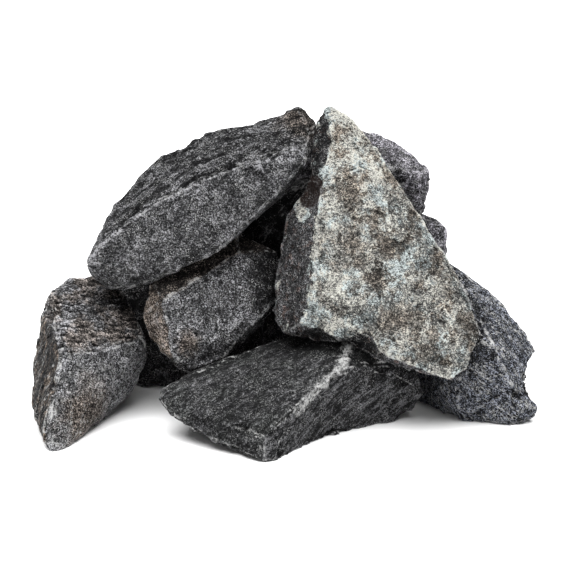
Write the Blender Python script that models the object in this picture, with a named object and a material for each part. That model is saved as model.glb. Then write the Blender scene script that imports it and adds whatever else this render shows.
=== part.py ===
"""A heap of loose, rough-broken basalt stones, standing on a floor.

Every stone is drawn by its corners, on one grid of whole millimetres: +X to the right, +Y to the
back, +Z up, with the floor at zero. The heap stands with its middle at the origin. A stone is the hull
of its corners with its edges broken, and shell-shaped chips are then struck off it. The stones are
laid in order from the floor up. Each is drawn sunk a little into the ones that carry it, and what
they need, with a clearance, is cut from it. The cutters also sweep the way by which each stone is
taken off the heap, so every loose stone can be drawn out along its own straight line.
"""

from itertools import product

import bmesh
import bpy
from mathutils import Vector

MM = 0.001

# Overall sizes of the heap, and the grid that its stones are drawn on.
HEAP_LENGTH = 257 * MM
HEAP_DEPTH = 168 * MM
HEAP_HEIGHT = 152 * MM
GRID = Vector((257, 168, 152))
GRID_MIDDLE = Vector((0, 19, 0))

# Fits and finish, in metres.
CLEARANCE = 1.0 * MM
BROKEN_EDGE = 1.2 * MM
WAY_OUT = 220 * MM

FLAT_ANGLE = 0.02
CHIP_SUBDIVISIONS = 4

# Colours of the rock, as linear red, green and blue.
BASALT = (0.075, 0.078, 0.085)
DARK_BASALT = (0.045, 0.047, 0.052)
GREY_BASALT = (0.11, 0.11, 0.118)
PALE_CRUST = (0.34, 0.34, 0.32)


class Stone:
    """One stone: its own length, depth and height, its corners on the grid, its chips and its way off."""

    def __init__(self, name, size, corners, way=None, chips=(), colour=BASALT, rests_at=0.0):
        self.name = name
        self.size = Vector(size)
        self.corners = [Vector(corner) for corner in corners]
        self.way = Vector(way).normalized() if way else None
        self.chips = chips
        self.colour = colour
        self.rests_at = rests_at

    def drawn_box(self):
        low = Vector(min(corner[k] for corner in self.corners) for k in range(3))
        high = Vector(max(corner[k] for corner in self.corners) for k in range(3))
        return low, high

    def placed(self, point):
        """A grid point as a place in the heap, after the stone takes its own size about its seat."""
        low, high = self.drawn_box()
        seat = Vector(((low.x + high.x) / 2, (low.y + high.y) / 2, low.z + self.rests_at))
        heap = Vector((HEAP_LENGTH, HEAP_DEPTH, HEAP_HEIGHT))
        sized = Vector(seat[k] + (point[k] - seat[k]) * self.size[k] / (high[k] - low[k]) for k in range(3))
        return Vector((sized[k] - GRID_MIDDLE[k]) * heap[k] / GRID[k] for k in range(3))


class Chip:
    """A shell-shaped flake struck off at a point: which way the point faces, its radius and its depth."""

    def __init__(self, at, facing, radius, depth):
        self.at = Vector(at)
        self.facing = Vector(facing).normalized()
        self.radius = radius
        self.depth = depth


FRONT = Stone(
    "front_stone",
    size=(135, 86, 44),
    way=(0, -1, 0),
    colour=DARK_BASALT,
    corners=[
        (-11, -65, 0), (-4, -62, 0), (7, -47, 0), (56, -8, 0), (60, 14, 0), (35, 21, 0), (-30, 20, 0),
        (-44, -4, 0), (-29, -49, 2),
        (-47, -41, 8), (-59, -34, 15), (-65, -28, 22), (-58, -19, 25), (-54, -34, 17),
        (-22, -53, 17), (-11, -62, 13), (-2, -58, 6),
        (-42, 2, 24), (-22, 9, 31), (0, 14, 39), (30, 10, 44),
        (7, -46, 22), (18, -37, 30), (28, -26, 37), (32, -11, 43),
        (58, -5, 30), (67, 0, 25), (70, -4, 13), (67, -7, 6), (62, 18, 20),
    ],
    chips=[
        Chip(at=(35, -25, 4), facing=(0.58, -0.81, 0.0), radius=120, depth=5.5),
    ],
)

LEFT = Stone(
    "left_stone",
    size=(58, 103, 66),
    way=(-1, 0, 0),
    corners=[
        (-115, -51, 0), (-107, -46, 0), (-93, -11, 0), (-84, 22, 0), (-96, 46, 0), (-118, 40, 0),
        (-119, -32, 0),
        (-119, -45, 5), (-127, -14, 8), (-128, 0, 28), (-124, 10, 51), (-119, 16, 61),
        (-110, 30, 66), (-98, 44, 63), (-120, 44, 48), (-84, 50, 48), (-116, 52, 20), (-88, 48, 16),
        (-80, 30, 54), (-71, 9, 40), (-70, 16, 26), (-79, 6, 11),
        (-111, -26, 44), (-92, -15, 41), (-112, -33, 26),
    ],
    chips=[
        Chip(at=(-124, -8, 58), facing=(-0.6, -0.6, 0.5), radius=40, depth=1.5),
    ],
)

RIGHT = Stone(
    "right_stone",
    size=(62, 62, 75),
    way=(1, 0, 0),
    corners=[
        (114, -14, 0), (92, -8, 0), (67, 23, 0), (82, 42, 0), (106, 46, 0), (118, 12, 0), (124, -4, 0),
        (70, 26, 20), (86, -12, 24), (87, -9, 9), (127, -9, 3), (128, -9, 8),
        (78, 18, 60), (83, 25, 75), (94, 22, 68), (109, 15, 57), (124, 8, 39), (129, 4, 31),
        (98, -9, 43), (105, -12, 41), (112, -15, 25), (122, -13, 11),
        (90, 47, 60), (112, 43, 44), (122, 30, 33),
    ],
    chips=[
        Chip(at=(126, 3, 18), facing=(1.0, -0.1, 0.1), radius=17, depth=7),
    ],
)

REAR_LEFT = Stone(
    "rear_left_stone",
    size=(103, 61, 62),
    way=(0, 1, 0),
    corners=[
        (-98, 60, 0), (-76, 42, 0), (-38, 44, 0), (-5, 84, 0), (-40, 97, 0), (-80, 99, 0), (-101, 82, 0),
        (-106, 66, 24), (-33, 56, 26), (-3, 87, 22), (-62, 103, 22),
        (-94, 58, 54), (-62, 46, 62), (-40, 58, 54), (-48, 84, 56), (-84, 88, 46), (-70, 97, 38),
        (-10, 82, 44),
    ],
)

REAR_RIGHT = Stone(
    "rear_right_stone",
    size=(92, 72, 64),
    way=(0.8, 0.6, 0),
    corners=[
        (0, 40, 0), (38, 29, 0), (70, 46, 0), (76, 76, 0), (50, 99, 0), (12, 92, 0), (-5, 66, 0),
        (-13, 50, 24), (-12, 62, 34), (79, 62, 28), (44, 101, 26),
        (0, 42, 46), (38, 34, 60), (70, 50, 64), (68, 80, 57), (30, 92, 52), (4, 76, 56),
    ],
)

MIDDLE = Stone(
    "middle_stone",
    size=(75, 66, 66),
    rests_at=8,
    corners=[
        (-72, 3, 53), (-68, 0, 41), (-62, -4, 34), (-53, -8, 28), (-43, -8, 26), (-33, -2, 31),
        (-20, 10, 38), (-11, 20, 42), (-56, -12, 37), (-61, -5, 64), (-8, 14, 53), (-23, 19, 82),
        (-68, 6, 61), (-67, 9, 69), (-55, 26, 80), (-25, 34, 88), (-4, 34, 78), (3, 36, 58),
        (-62, 46, 48), (-52, 54, 68), (-10, 54, 64), (-44, 8, 22), (-52, 50, 52), (-14, 48, 50),
    ],
)

SHOULDER = Stone(
    "right_shoulder_stone",
    size=(52, 44, 38),
    way=(0.8, 0.6, 0),
    rests_at=8,
    colour=GREY_BASALT,
    corners=[
        (85, 48, 85), (83, 53, 88), (76, 58, 89), (80, 42, 72), (81, 50, 60), (58, 42, 58), (34, 50, 56),
        (38, 78, 54), (72, 84, 54), (86, 68, 68), (60, 56, 92), (34, 56, 86), (40, 84, 84), (72, 86, 84),
    ],
)

BRIDGE = Stone(
    "rear_bridge_stone",
    size=(76, 54, 58),
    way=(0, 1, 0),
    rests_at=8,
    colour=DARK_BASALT,
    corners=[
        (-40, 56, 54), (-42, 86, 52), (20, 58, 54), (18, 88, 52), (-12, 50, 56),
        (-34, 58, 84), (10, 57, 108), (22, 74, 110), (-4, 96, 98), (-38, 88, 82),
        (-50, 70, 70), (26, 70, 76), (-10, 103, 70), (-12, 49, 80),
    ],
)

REAR_TOP = Stone(
    "rear_top_stone",
    size=(71, 52, 49),
    way=(0.1, 0.35, 0.93),
    rests_at=8,
    colour=GREY_BASALT,
    corners=[
        (48, 75, 130), (38, 70, 131), (55, 72, 128), (67, 66, 121), (75, 60, 114), (76, 61, 111),
        (59, 48, 116), (55, 46, 119), (70, 50, 115), (76, 58, 105), (71, 55, 91), (68, 50, 95),
        (12, 70, 136), (18, 61, 128), (5, 64, 112), (12, 86, 118), (8, 68, 98), (40, 98, 110), (68, 88, 104),
        (44, 92, 122), (24, 58, 90), (58, 58, 87), (55, 88, 88), (24, 84, 90),
    ],
)

UPPER_SLAB = Stone(
    "upper_left_slab",
    size=(116, 70, 93),
    way=(-0.2, 0, 0.98),
    rests_at=8,
    corners=[
        (-100, 10, 80), (-99, 15, 71), (-89, 12, 64), (-80, 12, 63),
        (-67, 0, 71), (-47, 3, 81), (-38, 3, 84), (-30, 6, 88), (-12, 12, 105), (2, 18, 118), (11, 22, 127),
        (13, 33, 140), (-92, 12, 91), (-68, 8, 109), (-42, 10, 122), (-17, 16, 130), (6, 26, 137),
        (-93, 20, 88), (-89, 30, 102), (-78, 36, 111), (-64, 42, 126), (-42, 48, 137), (-8, 52, 146),
        (6, 50, 151), (11, 50, 147), (16, 50, 140), (-84, 46, 94), (-60, 64, 104), (-30, 70, 114),
        (0, 68, 128), (8, 62, 134), (-90, 32, 58), (-60, 54, 70), (-25, 60, 86), (4, 56, 106),
    ],
    chips=[
        Chip(at=(-97, 14, 91), facing=(-0.85, -0.2, 0.5), radius=13, depth=4),
        Chip(at=(-16, 57, 143), facing=(-0.25, 0.0, 0.97), radius=60, depth=3),
    ],
)

PALE_SLAB = Stone(
    "pale_slab",
    size=(104, 88, 122),
    way=(0, -0.5, 0.87),
    rests_at=8,
    colour=PALE_CRUST,
    corners=[
        (-1, -5, 46), (30, -18, 50), (57, -26, 39), (81, -30, 30), (90, -25, 34), (97, -15, 49),
        (95, -10, 57), (89, 0, 71), (82, 7, 80), (73, 15, 93), (63, 22, 107), (54, 31, 121),
        (48, 35, 130), (42, 38, 136), (34, 43, 145), (23, 45, 152), (20, 47, 150),
        (23, 30, 140), (17, 14, 113), (12, 0, 83), (14, -12, 65), (7, -13, 53),
        (-7, 5, 54), (-6, 10, 64), (-3, 15, 77), (1, 25, 99), (9, 34, 120), (16, 48, 140),
        (0, 18, 50), (28, 8, 40), (60, 2, 34), (85, -2, 34), (91, 8, 55), (80, 22, 72),
        (60, 42, 104), (42, 54, 130), (24, 58, 143), (12, 46, 118), (0, 34, 90),
    ],
    chips=[
        Chip(at=(12, 21, 113), facing=(-0.8, -0.55, 0.1), radius=14, depth=3),
        Chip(at=(12, -12, 47), facing=(0.1, -0.6, -0.8), radius=16, depth=2.5),
        Chip(at=(37, -20, 46), facing=(0.0, -0.8, -0.6), radius=9, depth=3),
    ],
)

# From the floor up: a stone is cut by those before it.
STONES = [
    FRONT, LEFT, RIGHT, REAR_LEFT, REAR_RIGHT, MIDDLE, SHOULDER, BRIDGE, REAR_TOP, UPPER_SLAB, PALE_SLAB,
]


def clear_scene():
    for obj in list(bpy.data.objects):
        bpy.data.objects.remove(obj)


def new_collection(name):
    collection = bpy.data.collections.new(name)
    bpy.context.scene.collection.children.link(collection)
    return collection


def hull_object(name, points, collection, edge=0.0):
    """The convex hull of some points as an object, with its edges broken by that width."""
    bm = bmesh.new()
    for point in points:
        bm.verts.new(point)
    hull = bmesh.ops.convex_hull(bm, input=bm.verts)
    inner = {g for g in hull["geom_interior"] + hull["geom_unused"] if isinstance(g, bmesh.types.BMVert)}
    bmesh.ops.delete(bm, geom=list(inner), context="VERTS")
    bmesh.ops.dissolve_limit(bm, angle_limit=FLAT_ANGLE, verts=bm.verts, edges=bm.edges)
    if edge:
        bmesh.ops.bevel(bm, geom=bm.edges, offset=edge, segments=1, affect="EDGES", clamp_overlap=True)
    bmesh.ops.recalc_face_normals(bm, faces=bm.faces)
    mesh = bpy.data.meshes.new(name)
    bm.to_mesh(mesh)
    bm.free()
    obj = bpy.data.objects.new(name, mesh)
    collection.objects.link(obj)
    return obj


def hide(cutter):
    cutter.hide_render = True
    cutter.display_type = "WIRE"


def cut(obj, cutter):
    hide(cutter)
    modifier = obj.modifiers.new("cut by " + cutter.name, "BOOLEAN")
    modifier.operation = "DIFFERENCE"
    modifier.object = cutter


def strike_chips(obj, stone, cutters):
    """Takes the stone's shell-shaped chips off with balls that stand mostly outside it."""
    for number, chip in enumerate(stone.chips, 1):
        centre = stone.placed(chip.at) + chip.facing * (chip.radius - chip.depth) * MM
        bm = bmesh.new()
        bmesh.ops.create_icosphere(bm, subdivisions=CHIP_SUBDIVISIONS, radius=chip.radius * MM)
        bmesh.ops.translate(bm, verts=bm.verts, vec=centre)
        mesh = bpy.data.meshes.new(f"{stone.name}_chip_{number}")
        bm.to_mesh(mesh)
        bm.free()
        ball = bpy.data.objects.new(mesh.name, mesh)
        cutters.objects.link(ball)
        cut(obj, ball)


def grown(points):
    """Points moved out by the clearance to every side, so that their hull is the larger by it."""
    return [point + Vector(side) * CLEARANCE for point in points for side in product((-1, 1), repeat=3)]


def near(first, second):
    return all(
        min(p[k] for p in first) < max(q[k] for q in second)
        and min(q[k] for q in second) < max(p[k] for p in first)
        for k in range(3)
    )


def make_room(obj, stone, lower, cutters):
    """Cuts from a stone what a lower one fills, and the ways by which each of the two is drawn off."""
    own = [stone.placed(corner) for corner in stone.corners]
    filled = grown([lower.placed(corner) for corner in lower.corners])
    shifts = [way for way in (lower.way, -stone.way if stone.way else None) if way]
    for number, shift in enumerate(shifts, 1):
        swept = filled + [point + shift * WAY_OUT for point in filled]
        if near(own, swept):
            cut(obj, hull_object(f"{stone.name}_off_{lower.name}_{number}", swept, cutters))


def rock_material(stone):
    material = bpy.data.materials.new(stone.name + "_rock")
    material.use_nodes = True
    shader = material.node_tree.nodes["Principled BSDF"]
    shader.inputs["Base Color"].default_value = (*stone.colour, 1.0)
    shader.inputs["Roughness"].default_value = 0.85
    shader.inputs["Metallic"].default_value = 0.0
    return material


def centre_origin(obj):
    """Puts the object's origin at the middle of its box, which its way off passes through."""
    middle = sum((Vector(corner) for corner in obj.bound_box), Vector()) / 8
    for vertex in obj.data.vertices:
        vertex.co -= middle
    obj.location = middle


def build_stone(stone, lower_stones, heap, cutters):
    points = [stone.placed(corner) for corner in stone.corners]
    obj = hull_object(stone.name, points, heap, edge=BROKEN_EDGE)
    strike_chips(obj, stone, cutters)
    for lower in lower_stones:
        make_room(obj, stone, lower, cutters)
    obj.data.materials.append(rock_material(stone))
    centre_origin(obj)
    return obj


def build_heap():
    clear_scene()
    heap = new_collection("basalt_stone_heap")
    cutters = new_collection("cutters")
    for number, stone in enumerate(STONES):
        build_stone(stone, STONES[:number], heap, cutters)


build_heap()
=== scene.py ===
"""Rough-broken basalt stones, standing in a heap on a white floor.

Each stone starts as a fine skin over its CAD solid. Geometry nodes then weather that skin: they swell
it, break it into small facets, chip its edges and cut the ledges, cracks and hollows that are its own.
They also note on the skin what the rock's colour follows: how near an edge is, how near the next stone is,
how deep a point lies, and how much it faces one way. Nearness to the next stone and depth paint shade,
and height paints highlight on ridges. The stones never meet, because no point moves out by more than a
share of its gap to the next stone.
"""

import math

import bpy
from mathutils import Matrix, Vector


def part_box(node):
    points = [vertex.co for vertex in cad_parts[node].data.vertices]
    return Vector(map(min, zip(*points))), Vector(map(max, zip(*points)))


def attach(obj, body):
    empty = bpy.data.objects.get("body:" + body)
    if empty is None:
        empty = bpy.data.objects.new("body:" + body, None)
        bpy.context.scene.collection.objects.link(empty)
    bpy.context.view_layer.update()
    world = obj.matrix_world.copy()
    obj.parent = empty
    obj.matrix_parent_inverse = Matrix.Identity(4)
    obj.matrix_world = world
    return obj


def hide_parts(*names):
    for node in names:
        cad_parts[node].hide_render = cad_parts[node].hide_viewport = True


bl_info = {
    "name": "Basalt stone heap",
    "version": (1, 0, 0),
    "blender": (4, 5, 0),
    "location": "3D Viewport > Sidebar > Stones",
    "description": "Weathers and colours a heap of rough-broken basalt stones",
    "category": "Object",
}

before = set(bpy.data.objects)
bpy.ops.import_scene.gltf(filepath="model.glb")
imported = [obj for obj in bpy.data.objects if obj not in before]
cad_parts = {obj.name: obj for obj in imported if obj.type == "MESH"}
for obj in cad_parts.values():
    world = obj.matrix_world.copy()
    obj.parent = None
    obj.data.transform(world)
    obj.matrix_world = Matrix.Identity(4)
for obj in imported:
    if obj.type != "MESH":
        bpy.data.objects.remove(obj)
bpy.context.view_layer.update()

MM = 0.001
MERGE = 0.01 * MM

# How the skin is made and held.
SHARP_EDGE = math.radians(13)
FACE_BLUR = 7
HOLLOW_BLUR = 9
SHARE_OF_GAP = 0.42
BEARING_GAP = 1.8 * MM
BEARING_SHARE = 0.9
SWELL_WIDTH = 30 * MM
FACET_TILT = 0.08
SMALL_FACET_TILT = 0.045
SMALL_FACET = 0.4
SMALL_CHIP = 0.6
COARSE_GRAIN = 2.2 * MM

# How the rock is coloured.
CRYSTAL = 0.5 * MM
FINE_GRAIN = 0.8 * MM
CLOT = 1.9 * MM
PATCH = 8 * MM
CLOUD = 34 * MM
FLECK = 0.62 * MM
# Reach of the painted shade that darkens the rock near another stone.
PAINTED_SHADE_REACH = 16 * MM
BUMP = 0.8 * MM
ROUGHNESS = 0.86
SHINE = 0.1

# The ways that the rock's layers and streaks run.
UPPER_CREST = (1.0, 0.12, 0.42)
UPPER_FRONT = (0.75, 0.0, 0.65)
LEFT_TOP = (1.0, 0.1, 0.05)
LEFT_FLANK = (0.0, 0.15, 1.0)
RIGHT_SLOPE = (0.75, -0.1, -0.62)

FLOOR_WIDTH = 12.0
FILM_WIDTH = 36.0


# Node trees, written as Python expressions.


class Wire:
    """One node output. Python's operators on it add Math nodes."""

    def __init__(self, board, socket):
        self.board = board
        self.socket = socket

    def __add__(self, other):
        return self.board.maths("ADD", self, other)

    def __sub__(self, other):
        return self.board.maths("SUBTRACT", self, other)

    def __mul__(self, other):
        return self.board.maths("MULTIPLY", self, other)

    def __truediv__(self, other):
        return self.board.maths("DIVIDE", self, other)

    def __rsub__(self, other):
        return self.board.maths("SUBTRACT", other, self)

    def __neg__(self):
        return self.board.maths("MULTIPLY", self, -1.0)

    __radd__ = __add__
    __rmul__ = __mul__

    def least(self, other):
        return self.board.maths("MINIMUM", self, other)

    def most(self, other):
        return self.board.maths("MAXIMUM", self, other)

    def size(self):
        return self.board.maths("ABSOLUTE", self)

    def part(self):
        return self.board.maths("FRACT", self)

    def between(self, low, high):
        """0 at low, 1 at high, with a soft turn at both, and held beyond them."""
        return self.board.add(
            "ShaderNodeMapRange",
            {"interpolation_type": "SMOOTHSTEP"},
            {"Value": self, "From Min": low, "From Max": high, "To Min": 0.0, "To Max": 1.0},
        )["Result"]


class Added:
    """A node that was added, whose outputs are read by name or number."""

    def __init__(self, board, node):
        self.board = board
        self.node = node

    def __getitem__(self, output):
        return Wire(self.board, self.node.outputs[output])


class Board:
    """A node tree that nodes are added to."""

    def __init__(self, tree):
        self.tree = tree

    def add(self, kind, settings=None, inputs=None):
        """Adds any node: its settings first, then a value or a link for each of the sockets named."""
        node = self.tree.nodes.new(kind)
        for name, value in (settings or {}).items():
            if name == "stops":
                self.set_stops(node.color_ramp, value)
            else:
                setattr(node, name, value)
        for name, value in (inputs or {}).items():
            for given in value if isinstance(value, list) else [value]:
                if isinstance(given, Wire):
                    self.tree.links.new(given.socket, node.inputs[name])
                else:
                    node.inputs[name].default_value = given
        return Added(self, node)

    @staticmethod
    def set_stops(ramp, stops):
        while len(ramp.elements) < len(stops):
            ramp.elements.new(1.0)
        for element, (position, colour) in zip(ramp.elements, stops):
            element.position = position
            element.color = (*colour, 1.0)

    def maths(self, operation, first, second=None):
        inputs = {0: first} if second is None else {0: first, 1: second}
        return self.add("ShaderNodeMath", {"operation": operation}, inputs)["Value"]

    def vectors(self, operation, first, second=None, output="Vector", scale=None):
        inputs = {0: first}
        if second is not None:
            inputs[1] = second
        if scale is not None:
            inputs["Scale"] = scale
        return self.add("ShaderNodeVectorMath", {"operation": operation}, inputs)[output]

    def dot(self, first, second):
        return self.vectors("DOT_PRODUCT", first, second, "Value")

    def scaled(self, vector, scale):
        return self.vectors("SCALE", vector, scale=scale)

    def moved(self, vector, offset):
        return self.vectors("ADD", vector, offset)

    def noise(self, place, size, detail=2.0, roughness=0.5, output="Fac"):
        return self.add(
            "ShaderNodeTexNoise",
            {"noise_dimensions": "3D"},
            {"Vector": place, "Scale": 1 / size, "Detail": detail, "Roughness": roughness},
        )[output]

    def cells(self, place, size):
        return self.add("ShaderNodeTexVoronoi", None, {"Vector": place, "Scale": 1 / size})

    def grained(self, place, along, stretch):
        """The place with its coordinate along one line pressed, so that a pattern runs long that way."""
        line = Vector(along).normalized()
        run = self.dot(place, tuple(line)) * (1 / stretch - 1)
        return self.moved(place, self.scaled(tuple(line), run))

    def warped(self, place, size, amount):
        """The place pushed about by a slow noise, so that a pattern loses its regular look."""
        push = self.noise(place, size, 1.0, 0.5, "Color")
        centred = self.vectors("SUBTRACT", push, (0.5, 0.5, 0.5))
        return self.moved(place, self.scaled(centred, 2 * amount))

    def away_from(self, place, first, last):
        """How far the place lies from the straight line between two points."""
        run = Vector(last) - Vector(first)
        from_first = self.vectors("SUBTRACT", place, tuple(first))
        along = self.dot(from_first, tuple(run / run.length_squared)).most(0.0).least(1.0)
        sideways = self.vectors("SUBTRACT", from_first, self.scaled(tuple(run), along))
        return self.vectors("LENGTH", sideways, output="Value")

    def split(self, vector):
        parts = self.add("ShaderNodeSeparateXYZ", None, {"Vector": vector})
        return parts["X"], parts["Y"], parts["Z"]

    def blended(self, amount, first, second, blend="MIX"):
        """Two colours mixed by an amount."""
        return self.add(
            "ShaderNodeMix",
            {"data_type": "RGBA", "blend_type": blend},
            {0: amount, 6: first, 7: second},
        )[2]


# Sizes and colours that a user would change.


def length(name, description, default):
    return bpy.props.FloatProperty(
        name=name, description=description, default=default, unit="LENGTH", precision=5
    )


def number(name, description, default):
    return bpy.props.FloatProperty(name=name, description=description, default=default)


def angle(name, description, default):
    return bpy.props.FloatProperty(name=name, description=description, default=default, subtype="ANGLE")


def paint(name, description, default):
    return bpy.props.FloatVectorProperty(
        name=name, description=description, default=default, subtype="COLOR", min=0.0, max=1.0
    )


class SkinSettings(bpy.types.PropertyGroup):
    """How rough the broken stone is."""

    step: length("Skin step", "Width of one face of the stones' skin", 0.7 * MM)
    hidden_step: length("Hidden skin step", "The same for the stones that stand behind the heap", 0.9 * MM)
    swell: length("Swell", "Height of the slow rise and fall of a broken face", 1.3 * MM)
    facet: length("Facet width", "Width of the small facets that a broken face is made of", 10 * MM)
    grain: length("Grain height", "Height of the coarse grain", 0.2 * MM)
    chip: length("Chip depth", "Depth of the chips along sharp edges", 1.6 * MM)


class RockSettings(bpy.types.PropertyGroup):
    """What the rock is coloured with."""

    dark: paint("Dark mineral", "The darkest grains of the rock", (0.0048, 0.005, 0.0058))
    body: paint("Rock body", "The middle grey of the common rock", (0.052, 0.052, 0.0545))
    deep: paint("Deep rock body", "The middle grey of the darkest rock", (0.021, 0.021, 0.022))
    blue: paint("Blue rock body", "The middle grey of the bluish rock", (0.045, 0.048, 0.057))
    lilac: paint("Lilac rock body", "The middle grey of the palest rock", (0.088, 0.085, 0.094))
    light: paint("Light mineral", "The palest grains of the rock", (0.46, 0.46, 0.455))
    brown: paint("Brown stain", "Weather stain in old faces", (0.072, 0.052, 0.036))
    rust: paint("Rust stain", "The reddest stain", (0.085, 0.04, 0.024))
    cream: paint("Cream crust", "The palest crust on the old face", (0.42, 0.415, 0.375))
    frost: paint("Blue-grey crust", "The cool crust on the old face", (0.24, 0.275, 0.28))
    crust: paint("Grey crust", "The middle tone of the crust", (0.10, 0.10, 0.097))


class StageSettings(bpy.types.PropertyGroup):
    """Floor, light and camera."""

    floor: paint("Floor", "Colour of the floor", (0.86, 0.86, 0.86))
    fill: number("Fill", "Strength of the light from all around", 0.36)
    lamp: number("Lamp", "Strength of the soft lamp", 7.8)
    softness: angle("Lamp softness", "Angle that the lamp fills", math.radians(72))
    lean: angle("Lamp lean", "How far the lamp leans to the front", math.radians(3))
    turn: angle("Lamp turn", "How far the lamp stands to the right", math.radians(-40))
    lens: number("Lens", "Focal length in millimetres", 150.0)
    distance: length("Camera distance", "From the camera to the point it looks at", 1.1875)
    rise: angle("Camera rise", "Angle that the camera looks down by", math.asin(0.3))
    aim_back: length("Aim depth", "Depth of the point that the camera looks at", -0.019)
    aim_height: length("Aim height", "Height of the point that the camera looks at", 0.070)


# The skin of a stone.


def only_select(*objects):
    bpy.ops.object.select_all(action="DESELECT")
    for obj in objects:
        obj.select_set(True)
    bpy.context.view_layer.objects.active = objects[0]


def copy_of_solid(node, name):
    """The CAD solid's loose triangles as an object of its own, with its corners merged."""
    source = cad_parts[node]
    obj = bpy.data.objects.new(name, source.data.copy())
    bpy.context.scene.collection.objects.link(obj)
    obj.data.materials.clear()
    only_select(obj)
    bpy.ops.object.mode_set(mode="EDIT")
    bpy.ops.mesh.select_all(action="SELECT")
    bpy.ops.mesh.remove_doubles(threshold=MERGE)
    bpy.ops.mesh.customdata_custom_splitnormals_clear()
    bpy.ops.object.mode_set(mode="OBJECT")
    return obj


def remesh(obj, step):
    modifier = obj.modifiers.new("skin", "REMESH")
    modifier.mode = "VOXEL"
    modifier.voxel_size = step
    modifier.use_smooth_shade = True
    only_select(obj)
    bpy.ops.object.modifier_apply(modifier=modifier.name)


class Skin:
    """What is known at each point of a stone's skin while it is weathered."""

    def __init__(self, board, solid, others, flow):
        self.board = board
        self.flow = flow
        self.place = board.add("GeometryNodeInputPosition")["Position"]
        self.out = board.add("GeometryNodeInputNormal")["Normal"]
        self.start = self.kept("start", "FLOAT_VECTOR", self.place)
        self.face = self.kept("face", "FLOAT_VECTOR", self.out)
        self.edge = self.kept("edge", "FLOAT", self.distance(self.sharp_edges(solid), "EDGES"))
        self.gap = self.kept("gap", "FLOAT", self.distance(self.solids(others), "FACES"))
        facing = self.kept("facing", "FLOAT_VECTOR", self.blurred("FLOAT_VECTOR", self.face, FACE_BLUR))
        self.right, _, self.up = board.split(facing)

    def kept(self, name, kind, value):
        """Stores a value on the skin by name, and reads it back from there."""
        self.flow = self.board.add(
            "GeometryNodeStoreNamedAttribute",
            {"data_type": kind, "domain": "POINT"},
            {"Geometry": self.flow, "Name": name, "Value": value},
        )["Geometry"]
        stored = self.board.add("GeometryNodeInputNamedAttribute", {"data_type": kind}, {"Name": name})
        return stored["Attribute"]

    def blurred(self, kind, value, times):
        inputs = {"Value": value, "Iterations": times}
        return self.board.add("GeometryNodeBlurAttribute", {"data_type": kind}, inputs)["Value"]

    def solids(self, objects):
        found = [self.board.add("GeometryNodeObjectInfo", None, {"Object": obj}) for obj in objects]
        parts = [node["Geometry"] for node in found]
        return self.board.add("GeometryNodeJoinGeometry", None, {0: parts})["Geometry"]

    def sharp_edges(self, solid):
        angle = self.board.add("GeometryNodeInputMeshEdgeAngle")["Unsigned Angle"]
        return self.board.add(
            "GeometryNodeSeparateGeometry",
            {"domain": "EDGE"},
            {0: self.solids([solid]), 1: self.board.maths("GREATER_THAN", angle, SHARP_EDGE)},
        )[0]

    def distance(self, target, element):
        return self.board.add("GeometryNodeProximity", {"target_element": element}, {0: target})["Distance"]

    def push(self, height):
        """Moves the skin out by a height, along the way that it faces now."""
        offset = self.board.scaled(self.out, height)
        self.flow = self.board.add(
            "GeometryNodeSetPosition", None, {"Geometry": self.flow, "Offset": offset}
        )["Geometry"]

    def settle(self):
        """Closes most of a narrow gap, where stones bear on each other. No skin passes its share."""
        board, share = self.board, self.gap * SHARE_OF_GAP
        moved = board.dot(board.vectors("SUBTRACT", self.place, self.start), self.face)
        bearing = 1 - self.gap.between(BEARING_GAP, 2.5 * BEARING_GAP)
        change = (share * BEARING_SHARE - moved).most(0.0) * bearing - (moved - share).most(0.0)
        settled = board.moved(self.place, board.scaled(self.face, change))
        above_floor = board.vectors("MAXIMUM", settled, (-FLOOR_WIDTH, -FLOOR_WIDTH, 0.0))
        inputs = {"Geometry": self.flow, "Position": above_floor}
        self.flow = board.add("GeometryNodeSetPosition", None, inputs)["Geometry"]

    def note_hollows(self):
        """Keeps how far each point stands out of the skin around it, as a height, for the painted shade in
        hollows and painted highlight on ridges.
        """
        around = self.blurred("FLOAT_VECTOR", self.place, HOLLOW_BLUR)
        relief = self.board.dot(self.board.vectors("SUBTRACT", self.place, around), self.out)
        self.kept("relief", "FLOAT", relief)


def small_facets(skin, place, width, tilt):
    """Heights of small flat facets, each tilted its own way."""
    board = skin.board
    cell = board.cells(place, width)
    way = board.vectors("SUBTRACT", cell["Color"], (0.5, 0.5, 0.5))
    from_middle = board.vectors("SUBTRACT", place, cell["Position"])
    return board.dot(from_middle, way) * (2 * tilt)


def edge_chips(skin, place, width, reach, depth):
    """Scoops along the sharp edges, in some places and not in others."""
    board = skin.board
    scoop = 1 - board.cells(place, width)["Distance"].between(0.15, 0.75)
    where = board.noise(board.moved(place, (0.3, 0.1, 0.2)), 2.5 * width, 1.0).between(0.42, 0.62)
    near = 1 - skin.edge.between(0.2 * reach, reach)
    return -(scoop * where * near * depth)


def streaks(skin, along, width, stretch, height):
    """Low ribs that run along a line."""
    board = skin.board
    return (board.noise(board.grained(skin.place, along, stretch), width, 3.0, 0.6) - 0.5) * (2 * height)


def ledges(skin, across, spacing, depth):
    """Broken layers: each rises slowly along a direction and then drops."""
    board = skin.board
    bent = board.warped(skin.place, 14 * MM, 3 * MM)
    level = board.dot(bent, tuple(Vector(across).normalized())) / spacing
    return ((level + board.noise(skin.place, 7 * MM, 2.0) * 1.6).part() - 0.5) * depth


def groove(skin, first, last, width, depth):
    """A crack from one point to another."""
    board = skin.board
    away = board.away_from(board.warped(skin.place, 6 * MM, 1.2 * MM), first, last)
    return -((1 - away.between(0.15 * width, width)) * depth)


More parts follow.
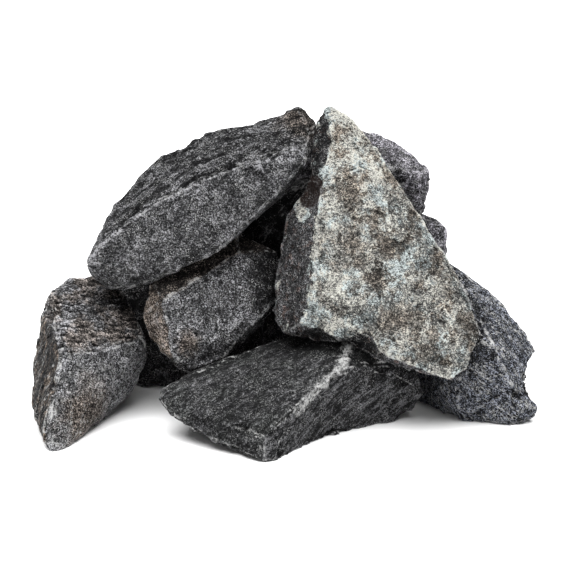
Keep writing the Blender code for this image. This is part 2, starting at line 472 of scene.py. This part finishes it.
def broken_skin(skin, sizes, roughness=1.0, chips=1.0):
    """The weathering that all stones share."""
    board = skin.board
    slow = board.warped(skin.place, 20 * MM, 3 * MM)
    skin.push((board.noise(skin.place, SWELL_WIDTH, 1.5) - 0.5) * (2.2 * sizes.swell))
    quick = board.warped(skin.place, 8 * MM, 1.2 * MM)
    facets = small_facets(skin, slow, sizes.facet, FACET_TILT * roughness)
    finer = small_facets(skin, quick, SMALL_FACET * sizes.facet, SMALL_FACET_TILT * roughness)
    skin.push(facets + finer)
    depth = sizes.chip * chips
    elsewhere = board.moved(slow, (0.1, 0.2, 0.3))
    skin.push(edge_chips(skin, slow, 9 * MM, 6 * MM, depth))
    skin.push(edge_chips(skin, elsewhere, 3.6 * MM, 2.6 * MM, SMALL_CHIP * depth))


def coarse_grain(skin, sizes, amount=1.0, width=COARSE_GRAIN):
    board = skin.board
    skin.push((board.noise(skin.place, width, 2.0, 0.6) - 0.5) * (2.2 * sizes.grain * amount))


def within(node, across, back, up):
    """A point in a CAD node's box, from its share of the box's length, depth and height."""
    low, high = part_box(node)
    return Vector(low[k] + (high[k] - low[k]) * share for k, share in enumerate((across, back, up)))


def weather(obj, solid, node, shape):
    """Runs a shape function over the stone's skin, as geometry nodes that are then applied."""
    tree = bpy.data.node_groups.new(obj.name + "_weather", "GeometryNodeTree")
    tree.interface.new_socket("Geometry", in_out="INPUT", socket_type="NodeSocketGeometry")
    tree.interface.new_socket("Geometry", in_out="OUTPUT", socket_type="NodeSocketGeometry")
    board = Board(tree)
    others = [other for name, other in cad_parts.items() if name != node]
    skin = Skin(board, solid, others, board.add("NodeGroupInput")["Geometry"])
    shape(skin)
    skin.settle()
    skin.note_hollows()
    board.add("NodeGroupOutput", None, {"Geometry": skin.flow})
    modifier = obj.modifiers.new("weather", "NODES")
    modifier.node_group = tree
    only_select(obj)
    bpy.ops.object.modifier_apply(modifier=modifier.name)
    for name in ("start", "face"):
        obj.data.attributes.remove(obj.data.attributes[name])
    bpy.data.node_groups.remove(tree)


def make_stone(node, name, body, step, shape, rock):
    """One stone, from its CAD solid to its finished rock."""
    solid = copy_of_solid(node, name + "_solid")
    obj = copy_of_solid(node, name)
    remesh(obj, step)
    weather(obj, solid, node, shape)
    bpy.data.objects.remove(solid)
    if not obj.data.polygons:
        raise RuntimeError(f"{name} lost its skin")
    only_select(obj)
    bpy.ops.object.shade_smooth()
    obj.data.materials.append(rock)
    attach(obj, body)
    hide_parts(node)
    return obj


# The rock's materials.


class Rock:
    """A rock material on its way: the patterns that its colour and bump are made of."""

    def __init__(self, name, paints):
        self.material = bpy.data.materials.new(name)
        self.material.use_nodes = True
        self.paints = paints
        self.board = Board(self.material.node_tree)
        self.shader = self.material.node_tree.nodes["Principled BSDF"]
        self.place = self.board.add("ShaderNodeTexCoord")["Object"]
        self.edge = self.read("edge")["Fac"]
        self.relief = self.read("relief")["Fac"]
        # Painted shade: the rock is coloured darker where another stone is near.
        self.painted_shade_near_stones = 1 - self.read("gap")["Fac"].between(0.0, PAINTED_SHADE_REACH)
        self.right, self.back, self.up = self.board.split(self.read("facing")["Vector"])

    def read(self, name):
        return self.board.add("ShaderNodeAttribute", {"attribute_type": "GEOMETRY", "attribute_name": name})

    def noise(self, size, detail=2.0, roughness=0.5, shift=0.0):
        place = self.board.moved(self.place, (shift, shift, shift)) if shift else self.place
        return self.board.noise(place, size, detail, roughness)

    def streaks(self, along, width, stretch, detail=3.0, roughness=0.6, shift=0.0):
        place = self.board.moved(self.place, (shift, shift, shift)) if shift else self.place
        return self.board.noise(self.board.grained(place, along, stretch), width, detail, roughness)

    def close_to(self, point, radius):
        """1 at a point, fading to 0 at that radius, with a ragged rim."""
        away = self.board.vectors("DISTANCE", self.place, tuple(point), "Value")
        ragged = away + (self.noise(0.35 * radius, 2.0, 0.6) - 0.5) * radius
        return 1 - ragged.between(0.35 * radius, radius)

    def finish(self, tint, height):
        """Links the colour and the bump height to the shader, and gives the material."""
        inputs = {"Strength": 1.0, "Distance": BUMP, "Height": height}
        normal = self.board.add("ShaderNodeBump", None, inputs)
        links = self.material.node_tree.links
        links.new(tint.socket, self.shader.inputs["Base Color"])
        links.new(normal["Normal"].socket, self.shader.inputs["Normal"])
        self.shader.inputs["Roughness"].default_value = ROUGHNESS
        self.shader.inputs["Specular IOR Level"].default_value = SHINE
        return self.material


def colour(value):
    return (*value, 1.0)


def toned(value, factor):
    return tuple(factor * part for part in value)


def ramp(rock, tone, stops):
    return rock.board.add("ShaderNodeValToRGB", {"stops": stops}, {"Fac": tone})["Color"]


def rock_tone(rock, patch=None, contrast=1.0, lift=0.0):
    """How light the rock is at each point, about 0.5, from crystals up to clouds, with painted shade near
    other stones and in hollows and painted highlight on ridges, and its fine grain.
    """
    cell = rock.board.cells(rock.place, CRYSTAL)["Color"]
    crystal = rock.board.add("ShaderNodeSeparateColor", None, {"Color": cell})["Red"]
    fine = rock.noise(FINE_GRAIN, 2.0, 0.7)
    clot = rock.noise(CLOT, 3.0, 0.7, 0.4)
    patch = rock.noise(PATCH, 3.0, 0.6, 0.7) if patch is None else patch
    cloud = rock.noise(CLOUD, 2.0)
    tone = (crystal - 0.5) * (0.7 * contrast) + (fine - 0.5) * (0.7 * contrast)
    tone = tone + (clot - 0.5) * (0.5 * contrast) + lift + (patch - 0.5) * 0.8 + (cloud - 0.5) * 0.3
    # Painted light: lighter on ridges and darker in hollows by the relief, and darker near other stones as
    # painted shade.
    return tone + rock.relief * (0.5 / MM) - rock.painted_shade_near_stones * 0.3 + 0.44, fine


def torn_layers(rock, along, stretch, size=9 * MM, count=8.0, shift=0.0):
    """The edges of thin broken layers: a saw that climbs over each layer and drops at its edge."""
    place = rock.board.warped(rock.board.moved(rock.place, (shift, shift, shift)), 10 * MM, 2 * MM)
    return (rock.board.noise(rock.board.grained(place, along, stretch), size, 4.0, 0.62) * count).part()


def layer_lift(layer, amount=1.0):
    """Lighter rims and darker steps, as a change of the rock's tone."""
    return ((1 - layer.between(0.02, 0.18)) * 0.2 - layer.between(0.7, 1.0) * 0.2) * amount


def basalt(rock, body, patch=None, contrast=1.0, salt=1.0, lift=0.0):
    """Grey rock of dark and light grains. Gives its colour and its bump height."""
    board, paints = rock.board, rock.paints
    tone, fine = rock_tone(rock, patch, contrast, lift)
    tint = ramp(
        rock,
        tone,
        [
            (0.1, toned(paints.dark, 0.5)),
            (0.3, toned(body, 0.3)),
            (0.48, toned(body, 0.66)),
            (0.62, toned(body, 1.2)),
            (0.76, toned(body, 2.8)),
            (0.92, toned(body, 6.0)),
        ],
    )
    where = rock.noise(5 * MM, 2.0, 0.5, 0.2).between(0.42, 0.62)
    flecks = rock.noise(FLECK, 1.0, 0.6, 0.11).between(0.58, 0.68) * where
    tint = board.blended(flecks * (0.8 * salt), tint, colour(paints.light))
    return tint, fine * 0.9 + tone * 0.5


def stained(rock, tint, amount, stain):
    """The rock's own grain, with the hue of a stain."""
    return rock.board.blended(amount, tint, colour(stain), "COLOR")


def worn_edges(rock, tint, amount=0.35, width=0.9 * MM):
    """Bruised, lighter stone along the sharp edges."""
    broken = rock.noise(4 * MM, 3.0, 0.65, 0.5).between(0.45, 0.62)
    ragged = (rock.noise(2.2 * MM, 3.0, 0.7) - 0.5) * (2.8 * MM)
    line = 1 - (rock.edge + ragged).between(0.1 * width, 0.7 * width)
    return rock.board.blended(line * broken * amount, tint, colour(rock.paints.light))


def veins(rock, tint, along, width, amount, where=1.0):
    """Thin light lines that run along a direction."""
    line = 1 - (rock.streaks(along, width, 5.0, 3.0, 0.6, 0.9) - 0.5).size().between(0.0, 0.03)
    speckled = rock.noise(1.6 * MM, 3.0, 0.75, 0.6).between(0.44, 0.6)
    return rock.board.blended(line * speckled * amount * where, tint, colour(rock.paints.light))


def plain_rock(name, paints, body, salt=1.0, contrast=1.0):
    rock = Rock(name, paints)
    layer = torn_layers(rock, (1.0, 0.3, 0.4), 1.6)
    tint, height = basalt(rock, body, None, contrast, salt, layer_lift(layer))
    return rock.finish(worn_edges(rock, tint), height + layer * 0.4)


def upper_slab_rock(paints):
    """Even grey front, and a darker, pitted back that is streaked along the crest."""
    rock = Rock("upper_slab_rock", paints)
    board, crest = rock.board, UPPER_CREST
    # A speckled lighter band on the faces that tilt part way up, where the front turns into the back.
    crest_band = rock.up.between(0.2, 0.4) * (1 - rock.up.between(0.48, 0.64))
    crest_band_speckle = rock.noise(2.5 * MM, 4.0, 0.7, 0.15).between(0.4, 0.62)
    layer = torn_layers(rock, UPPER_FRONT, 2.2, 11 * MM, 7.0)
    lift = layer_lift(layer, 0.5) + crest_band * crest_band_speckle * 0.42
    tint, height = basalt(rock, paints.body, None, 1.0, 1.0, lift)
    old = rock.streaks(crest, 5 * MM, 2.6)
    pits = rock.streaks(crest, 5.5 * MM, 2.2, 4.0, 0.65, 0.3).between(0.5, 0.58)
    lichen = rock.streaks(crest, 4.5 * MM, 2.0, 4.0, 0.7, 0.8).between(0.54, 0.66)
    back_layer = torn_layers(rock, crest, 2.5, 8 * MM, 8.0, 0.4)
    back_lift = layer_lift(back_layer, 1.5) - pits * 0.5 + lichen * 0.36 - 0.04
    back_tint, back_height = basalt(rock, toned(paints.body, 0.85), old, 1.25, 0.7, back_lift)
    on_back = (rock.up + (rock.noise(6 * MM, 3.0) - 0.5) * 0.25).between(0.44, 0.6)
    tint = board.blended(on_back, tint, back_tint)
    tan = rock.close_to(within("upper_left_slab", 0.93, 0.6, 0.9), 16 * MM)
    tint = stained(rock, tint, tan * 0.5, paints.brown)
    height = height + on_back * (back_height * 0.3 + back_layer * 0.7)
    return rock.finish(worn_edges(rock, tint, 0.4), height)


def pale_slab_rock(paints):
    """A mottled pale crust on the front, over dark rock that shows on the flanks and in chips."""
    rock = Rock("pale_slab_rock", paints)
    board = rock.board
    layer = torn_layers(rock, (0.0, 0.3, 1.0), 2.4)
    dark, height = basalt(rock, toned(paints.body, 0.75), None, 1.0, 0.7, layer_lift(layer))
    red = rock.noise(3.5 * MM, 3.0, 0.65, 0.45).between(0.52, 0.64)
    dark = stained(rock, dark, red * 0.4, paints.rust)

    torn = (rock.noise(2.4 * MM, 4.0, 0.75, 0.27) - 0.5) * 0.7
    edge_band = 1 - rock.right.between(-0.22, 0.12)
    old = (rock.noise(13 * MM, 4.0, 0.6, 0.83) + torn).between(0.5, 0.58)
    for share, radius in (
        ((0.36, 0.3, 0.5), 16 * MM),
        ((0.62, 0.3, 0.62), 10 * MM),
        ((0.86, 0.2, 0.36), 13 * MM),
        ((0.6, 0.2, 0.2), 13 * MM),
    ):
        old = old.most(rock.close_to(within("pale_slab", *share), radius))
    old = old * (1 - edge_band)
    low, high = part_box("pale_slab")
    height_share = (board.split(rock.place)[2] - low[2]) * (1 / (high[2] - low[2]))
    top = height_share.between(0.55, 0.8)
    pale = (rock.noise(19 * MM, 4.0, 0.62, 0.33) + edge_band * 0.16 + top * 0.1 + torn).between(0.45, 0.53)
    pale = pale * (1 - old * 0.8)
    cool = (rock.noise(12 * MM, 4.0, 0.6, 0.61) + torn).between(0.48, 0.56)
    slate = (rock.noise(9 * MM, 4.0, 0.65, 0.47) + torn).between(0.6, 0.68)
    lift = pale * 0.2 - old * 0.14 - slate * 0.18 + top * 0.08 - 0.02
    crust_layer = torn_layers(rock, (0.3, 0.0, 1.0), 1.3, 7 * MM, 9.0, 0.6)
    tone, fine = rock_tone(rock, None, 0.85, lift + layer_lift(crust_layer, 0.8))
    crust = ramp(
        rock,
        tone,
        [
            (0.06, toned(paints.crust, 0.15)),
            (0.28, toned(paints.crust, 0.6)),
            (0.46, toned(paints.crust, 1.3)),
            (0.62, toned(paints.cream, 0.7)),
            (0.9, toned(paints.cream, 1.35)),
        ],
    )
    crust = stained(rock, crust, cool * 0.8, paints.frost)
    crust = stained(rock, crust, old * 0.45, paints.brown)

    by_edge = 1 - rock.edge.between(1 * MM, 7 * MM)
    ragged = (rock.noise(3.5 * MM, 4.0, 0.65, 0.13) - 0.5) * 0.7
    ragged = ragged + (rock.noise(8 * MM, 4.0, 0.6, 0.53) - 0.42) * by_edge * 2
    on_crust = (rock.right + ragged).between(-0.52, -0.42) * (rock.up + ragged * 0.5).between(-0.15, 0.05)
    chip_middle = tuple(within("pale_slab", 0.18, 0.58, 0.683))
    from_chip = board.vectors("DISTANCE", rock.place, chip_middle, "Value")
    chip = 1 - (from_chip + (rock.noise(3 * MM, 2.0) - 0.5) * (2 * MM)).between(8.3 * MM, 9.3 * MM)
    on_crust = on_crust * (1 - chip)
    tint = board.blended(on_crust, dark, crust)
    tint = board.blended(chip * 0.5, tint, colour(toned(paints.rust, 0.18)))
    height = height * (1 - on_crust) + on_crust * (fine * 0.9 + tone * 0.9)
    return rock.finish(worn_edges(rock, tint, 0.4), height)


def left_stone_rock(paints):
    """Layered top with dark grooves and cream patches, brown-streaked left flank, grey front."""
    rock = Rock("left_stone_rock", paints)
    board = rock.board
    layer = torn_layers(rock, (0.5, 0.0, 1.0), 1.8)
    lift = layer_lift(layer) + 0.03
    tint, height = basalt(rock, toned(paints.body, 1.35), None, 1.1, 1.0, lift)
    low = rock.close_to(within("left_stone", 0.62, 0.15, 0.2), 26 * MM)
    tint = stained(rock, tint, low * 0.5, paints.brown)
    saw = torn_layers(rock, LEFT_TOP, 4.0, 7 * MM, 9.0, 0.2)
    bands = rock.streaks(LEFT_TOP, 2.8 * MM, 4.0, 4.0, 0.6, 0.2)
    cream = (rock.noise(9 * MM, 3.0, 0.6, 0.35) + (bands - 0.5) * 0.4).between(0.52, 0.62)
    top_lift = layer_lift(saw, 1.8) - bands.between(0.52, 0.6) * 0.25 + cream * 0.3
    top_tint, _ = basalt(rock, toned(paints.body, 1.25), bands, 1.0, 0.6, top_lift)
    tan = rock.noise(14 * MM, 3.0, 0.6, 0.75).between(0.42, 0.56)
    top_tint = stained(rock, top_tint, tan * 0.4, paints.brown)
    on_top = (rock.up + (rock.noise(5 * MM, 3.0) - 0.5) * 0.3).between(0.5, 0.64)
    tint = board.blended(on_top, tint, top_tint)
    flank = rock.streaks(LEFT_FLANK, 3.2 * MM, 4.0, 4.0, 0.6, 0.55)
    flank_lift = (flank - 0.5) * 1.2 - 0.04
    flank_tint, _ = basalt(rock, toned(paints.body, 0.85), flank, 0.9, 0.3, flank_lift)
    flank_tint = stained(rock, flank_tint, flank.between(0.42, 0.6) * 0.7, paints.brown)
    on_flank = (1 - (rock.right + (flank - 0.5) * 0.4).between(-0.75, -0.6)) * (1 - on_top)
    tint = board.blended(on_flank, tint, flank_tint)
    tint = veins(rock, tint, (0.5, 0.0, 1.0), 6 * MM, 0.6, 1 - on_top)
    tint = worn_edges(rock, tint, 0.85, 1.1 * MM)
    return rock.finish(tint, height + on_top * saw * 0.9 + on_flank * flank)


def middle_stone_rock(paints):
    """Fine, even grey rock with a brown rim on the left, and painted shade on its downward faces and on its
    right end under the slabs.
    """
    rock = Rock("middle_stone_rock", paints)
    layer = torn_layers(rock, (0.6, 0.0, 0.8), 1.8, 10 * MM, 7.0)
    top = (rock.up + (rock.noise(5 * MM, 3.0) - 0.5) * 0.3).between(0.45, 0.62)
    # Painted shade: the faces that look down, and the right end that lies under the upper and pale slabs,
    # are coloured darker.
    painted_underside_shade = 1 - rock.up.between(-0.55, -0.25)
    painted_overhang_shadow = rock.close_to(within("middle_stone", 1.0, 0.4, 0.85), 34 * MM)
    lift = layer_lift(layer, 0.8) - top * 0.16 - painted_underside_shade * 0.3 - painted_overhang_shadow * 0.3 + 0.03
    tint, height = basalt(rock, toned(paints.body, 1.45), None, 1.1, 1.0, lift)
    rim = 1 - (rock.right + (rock.noise(4 * MM, 3.0) - 0.5) * 0.5).between(-0.72, -0.45)
    spot = rock.close_to(within("middle_stone", 0.32, 0.05, 0.3), 9 * MM)
    tint = stained(rock, tint, (top * 0.45).most(rim * 0.6).most(spot * 0.5), paints.brown)
    return rock.finish(worn_edges(rock, tint, 0.6, 0.9 * MM), height + layer * 0.4)


def front_stone_rock(paints):
    """Very dark rock, finely streaked, with a white bruised ridge."""
    rock = Rock("front_stone_rock", paints)
    board = rock.board
    top_run, side_run = (0.78, 0.6, 0.2), (0.7, 0.5, 0.5)
    top_layer = torn_layers(rock, top_run, 4.0, 7 * MM, 8.0)
    top_lines = rock.streaks(top_run, 1.8 * MM, 4.0)
    lift = layer_lift(top_layer) + (top_lines - 0.5) * 0.5
    tint, height = basalt(rock, toned(paints.deep, 1.2), top_lines, 0.85, 0.5, lift)
    side_layer = torn_layers(rock, side_run, 5.0, 6 * MM, 8.0, 0.5)
    side_lines = rock.streaks(side_run, 1.8 * MM, 6.0, 3.0, 0.6, 0.3)
    side_lift = layer_lift(side_layer, 2.2) + (side_lines - 0.5) * 1.6 + 0.05
    side, _ = basalt(rock, paints.deep, side_lines, 1.1, 0.6, side_lift)
    on_side = (rock.right * 0.6 - rock.back * 0.8 - rock.up * 0.5).between(0.55, 0.75)
    tint = board.blended(on_side, tint, side)
    green = rock.noise(16 * MM, 2.0, 0.5, 0.4).between(0.4, 0.65) * (1 - on_side)
    tint = stained(rock, tint, green * 0.25, (0.05, 0.056, 0.05))
    foot = within("front_stone", 0.53, 0.2, 0.45)
    bend = within("front_stone", 0.69, 0.45, 0.84)
    head = within("front_stone", 0.72, 0.63, 1.0)
    away = board.away_from(rock.place, foot, bend).least(board.away_from(rock.place, bend, head))
    ragged = (rock.noise(3 * MM, 3.0, 0.7, 0.9) - 0.5) * (9 * MM)
    near = 1 - (away + ragged).between(0.5 * MM, 3.6 * MM)
    torn = rock.noise(1.6 * MM, 4.0, 0.75, 0.25).between(0.4, 0.54)
    tint = board.blended(near * torn * 0.9, tint, colour(paints.light))
    return rock.finish(worn_edges(rock, tint, 0.75, 1.0 * MM), height + top_layer * 0.4)


def right_stone_rock(paints):
    """Blue-grey rock with many white grains, streaked down its slope."""
    rock = Rock("right_stone_rock", paints)
    layer = torn_layers(rock, RIGHT_SLOPE, 2.5, 8 * MM, 8.0)
    lines = rock.streaks(RIGHT_SLOPE, 2.8 * MM, 3.0)
    tint, height = basalt(rock, paints.blue, lines, 1.4, 1.2, layer_lift(layer, 1.5) - 0.03)
    tint = veins(rock, tint, RIGHT_SLOPE, 5 * MM, 0.8)
    return rock.finish(worn_edges(rock, tint, 0.9, 1.2 * MM), height + layer * 0.6)


# One operator for each stone, or group of like stones, and one for the stage.


def plain_shape(sizes, roughness=1.0):
    """The shape function of a stone with no features of its own."""

    def shape(skin):
        broken_skin(skin, sizes, roughness)
        coarse_grain(skin, sizes)

    return shape


class STONES_OT_upper_left(bpy.types.Operator):
    """Weather the long slab that leans across the upper left"""

    bl_idname = "stones.upper_left"
    bl_label = "Upper left slab"

    def execute(self, context):
        sizes, paints = context.scene.stone_skin, context.scene.stone_rock

        def shape(skin):
            broken_skin(skin, sizes, 0.75)
            on_back = skin.up.between(0.4, 0.65)
            pits = streaks(skin, UPPER_CREST, 4.5 * MM, 3.0, 1.0 * MM)
            skin.push(pits * on_back + streaks(skin, UPPER_FRONT, 6 * MM, 3.0, 0.25 * MM))
            coarse_grain(skin, sizes, 0.9)

        rock = upper_slab_rock(paints)
        make_stone("upper_left_slab", "upper_left_rock", "upper_left", sizes.step, shape, rock)
        return {"FINISHED"}


class STONES_OT_pale_slab(bpy.types.Operator):
    """Weather the slab with the pale crust"""

    bl_idname = "stones.pale_slab"
    bl_label = "Pale slab"

    def execute(self, context):
        sizes, paints = context.scene.stone_skin, context.scene.stone_rock

        def shape(skin):
            broken_skin(skin, sizes, 0.8, 1.2)
            on_crust = skin.right.between(-0.5, -0.2)
            skin.push(streaks(skin, (0.1, 0.3, 1.0), 5 * MM, 1.6, 0.5 * MM) * on_crust)
            coarse_grain(skin, sizes, 1.6, 1.9 * MM)

        rock = pale_slab_rock(paints)
        make_stone("pale_slab", "pale_rock", "pale", sizes.step, shape, rock)
        return {"FINISHED"}


class STONES_OT_left(bpy.types.Operator):
    """Weather the banded stone on the left"""

    bl_idname = "stones.left"
    bl_label = "Left stone"

    def execute(self, context):
        sizes, paints = context.scene.stone_skin, context.scene.stone_rock

        def shape(skin):
            broken_skin(skin, sizes, 1.0, 1.1)
            on_top = skin.up.between(0.45, 0.7)
            on_flank = 1 - skin.right.between(-0.8, -0.55)
            skin.push(ledges(skin, (0.1, 0.2, 1.0), 2.8 * MM, 1.5 * MM) * on_top)
            skin.push(streaks(skin, LEFT_FLANK, 4 * MM, 5.0, 0.8 * MM) * on_flank)
            head, foot = within("left_stone", 0.12, 0.2, 0.62), within("left_stone", 0.16, 0.05, 0.1)
            skin.push(groove(skin, head, foot, 1.8 * MM, 2.2 * MM))
            coarse_grain(skin, sizes)

        rock = left_stone_rock(paints)
        make_stone("left_stone", "left_rock", "left", sizes.step, shape, rock)
        return {"FINISHED"}


class STONES_OT_middle(bpy.types.Operator):
    """Weather the stone that is locked in the middle"""

    bl_idname = "stones.middle"
    bl_label = "Middle stone"

    def execute(self, context):
        sizes, paints = context.scene.stone_skin, context.scene.stone_rock
        shape, rock = plain_shape(sizes, 0.8), middle_stone_rock(paints)
        make_stone("middle_stone", "middle_rock", "middle", sizes.step, shape, rock)
        return {"FINISHED"}


class STONES_OT_front(bpy.types.Operator):
    """Weather the dark stone that lies in front"""

    bl_idname = "stones.front"
    bl_label = "Front stone"

    def execute(self, context):
        sizes, paints = context.scene.stone_skin, context.scene.stone_rock

        def shape(skin):
            broken_skin(skin, sizes, 0.8, 1.2)
            skin.push(streaks(skin, (0.75, 0.55, 0.35), 4 * MM, 5.0, 0.5 * MM))
            head, foot = within("front_stone", 0.43, 0.04, 0.32), within("front_stone", 0.5, 0.14, 0.05)
            skin.push(groove(skin, head, foot, 1.6 * MM, 2.0 * MM))
            coarse_grain(skin, sizes)

        rock = front_stone_rock(paints)
        make_stone("front_stone", "front_rock", "front", sizes.step, shape, rock)
        return {"FINISHED"}


class STONES_OT_right(bpy.types.Operator):
    """Weather the blue-grey stone on the right"""

    bl_idname = "stones.right"
    bl_label = "Right stone"

    def execute(self, context):
        sizes, paints = context.scene.stone_skin, context.scene.stone_rock

        def shape(skin):
            broken_skin(skin, sizes, 1.2, 1.2)
            skin.push(streaks(skin, RIGHT_SLOPE, 4 * MM, 3.0, 0.5 * MM))
            coarse_grain(skin, sizes, 1.2)

        rock = right_stone_rock(paints)
        make_stone("right_stone", "right_rock", "right", sizes.step, shape, rock)
        return {"FINISHED"}


class STONES_OT_upper_right(bpy.types.Operator):
    """Weather the two grey stones that look out at the upper right"""

    bl_idname = "stones.upper_right"
    bl_label = "Upper right stones"

    def execute(self, context):
        sizes, paints = context.scene.stone_skin, context.scene.stone_rock
        rock = plain_rock("upper_right_rock", paints, paints.lilac)
        for node, name, body in (
            ("rear_top_stone", "rear_top_rock", "rear_top"),
            ("right_shoulder_stone", "right_shoulder_rock", "right_shoulder"),
        ):
            make_stone(node, name, body, sizes.hidden_step, plain_shape(sizes), rock)
        return {"FINISHED"}


class STONES_OT_rear(bpy.types.Operator):
    """Weather the three stones that carry the heap from behind, coloured dark as painted shade"""

    bl_idname = "stones.rear"
    bl_label = "Rear stones"

    def execute(self, context):
        sizes, paints = context.scene.stone_skin, context.scene.stone_rock
        # Painted shade: the rear stones get a much darker body and the bridge stone the darkest, so the
        # hollows they fill read as shadow.
        common = plain_rock("rear_stone_rock", paints, toned(paints.body, 0.4))
        dark = plain_rock("rear_bridge_stone_rock", paints, paints.deep, 0.5, 0.8)
        for node, name, body, slot, rock in (
            ("rear_left_stone", "rear_left_rock", "rear_left", "basalt", common),
            ("rear_right_stone", "rear_right_rock", "rear_right", "basalt", common),
            ("rear_bridge_stone", "rear_bridge_rock", "rear_bridge", "dark_basalt", dark),
        ):
            make_stone(node, name, body, sizes.hidden_step, plain_shape(sizes), rock)
        return {"FINISHED"}


class STONES_OT_stage(bpy.types.Operator):
    """Set up the white floor, the soft lamp and the camera"""

    bl_idname = "stones.stage"
    bl_label = "Stage"

    def execute(self, context):
        stage = context.scene.stone_stage
        self.add_floor(stage)
        self.add_light(context, stage)
        self.add_camera(context, stage)
        return {"FINISHED"}

    @staticmethod
    def add_floor(stage):
        bpy.ops.object.select_all(action="DESELECT")
        bpy.ops.mesh.primitive_plane_add(size=FLOOR_WIDTH, location=(0.0, 0.0, 0.0))
        floor = bpy.context.object
        floor.name = "floor"
        material = bpy.data.materials.new("floor_white")
        material.use_nodes = True
        shader = material.node_tree.nodes["Principled BSDF"]
        shader.inputs["Base Color"].default_value = colour(stage.floor)
        shader.inputs["Roughness"].default_value = 1.0
        shader.inputs["Specular IOR Level"].default_value = 0.0
        floor.data.materials.append(material)

    @staticmethod
    def add_light(context, stage):
        world = bpy.data.worlds.new("white_surround")
        world.use_nodes = True
        board = Board(world.node_tree)
        seen = board.add("ShaderNodeLightPath")["Is Camera Ray"]
        strength = seen * (1.0 - stage.fill) + stage.fill
        background = world.node_tree.nodes["Background"]
        background.inputs["Color"].default_value = (1.0, 1.0, 1.0, 1.0)
        board.tree.links.new(strength.socket, background.inputs["Strength"])
        context.scene.world = world
        bpy.ops.object.light_add(type="SUN", location=(0.0, -0.3, 1.0))
        lamp = context.object
        lamp.name = "overhead_lamp"
        lamp.data.energy = stage.lamp
        lamp.data.angle = stage.softness
        lamp.rotation_euler = (stage.lean, 0.0, stage.turn)
        context.scene.view_settings.view_transform = "Standard"

    @staticmethod
    def add_camera(context, stage):
        back = Vector((0.0, -math.cos(stage.rise), math.sin(stage.rise)))
        aim = Vector((0.0, stage.aim_back, stage.aim_height))
        bpy.ops.object.camera_add(location=aim + back * stage.distance)
        camera = context.object
        camera.name = "camera"
        camera.rotation_euler = (math.pi / 2 - stage.rise, 0.0, 0.0)
        camera.data.lens = stage.lens
        camera.data.sensor_width = FILM_WIDTH
        context.scene.camera = camera


class STONES_PT_panel(bpy.types.Panel):
    """The heap's sizes, colours and steps"""

    bl_idname = "STONES_PT_panel"
    bl_label = "Basalt stone heap"
    bl_space_type = "VIEW_3D"
    bl_region_type = "UI"
    bl_category = "Stones"

    def draw(self, context):
        for group in (context.scene.stone_skin, context.scene.stone_rock, context.scene.stone_stage):
            box = self.layout.box()
            for name in group.__annotations__:
                box.prop(group, name)
        for step in STEPS:
            self.layout.operator(step.bl_idname)


STEPS = (
    STONES_OT_upper_left,
    STONES_OT_pale_slab,
    STONES_OT_left,
    STONES_OT_middle,
    STONES_OT_front,
    STONES_OT_right,
    STONES_OT_upper_right,
    STONES_OT_rear,
    STONES_OT_stage,
)
SETTINGS = (
    ("stone_skin", SkinSettings),
    ("stone_rock", RockSettings),
    ("stone_stage", StageSettings),
)
CLASSES = (*(group for _, group in SETTINGS), *STEPS, STONES_PT_panel)


def register():
    for cls in CLASSES:
        bpy.utils.register_class(cls)
    for name, group in SETTINGS:
        setattr(bpy.types.Scene, name, bpy.props.PointerProperty(type=group))


def unregister():
    for name, _ in SETTINGS:
        delattr(bpy.types.Scene, name)
    for cls in reversed(CLASSES):
        bpy.utils.unregister_class(cls)


def main():
    register()
    for step in STEPS:
        family, name = step.bl_idname.split(".")
        getattr(getattr(bpy.ops, family), name)()


if __name__ == "__main__":
    main()
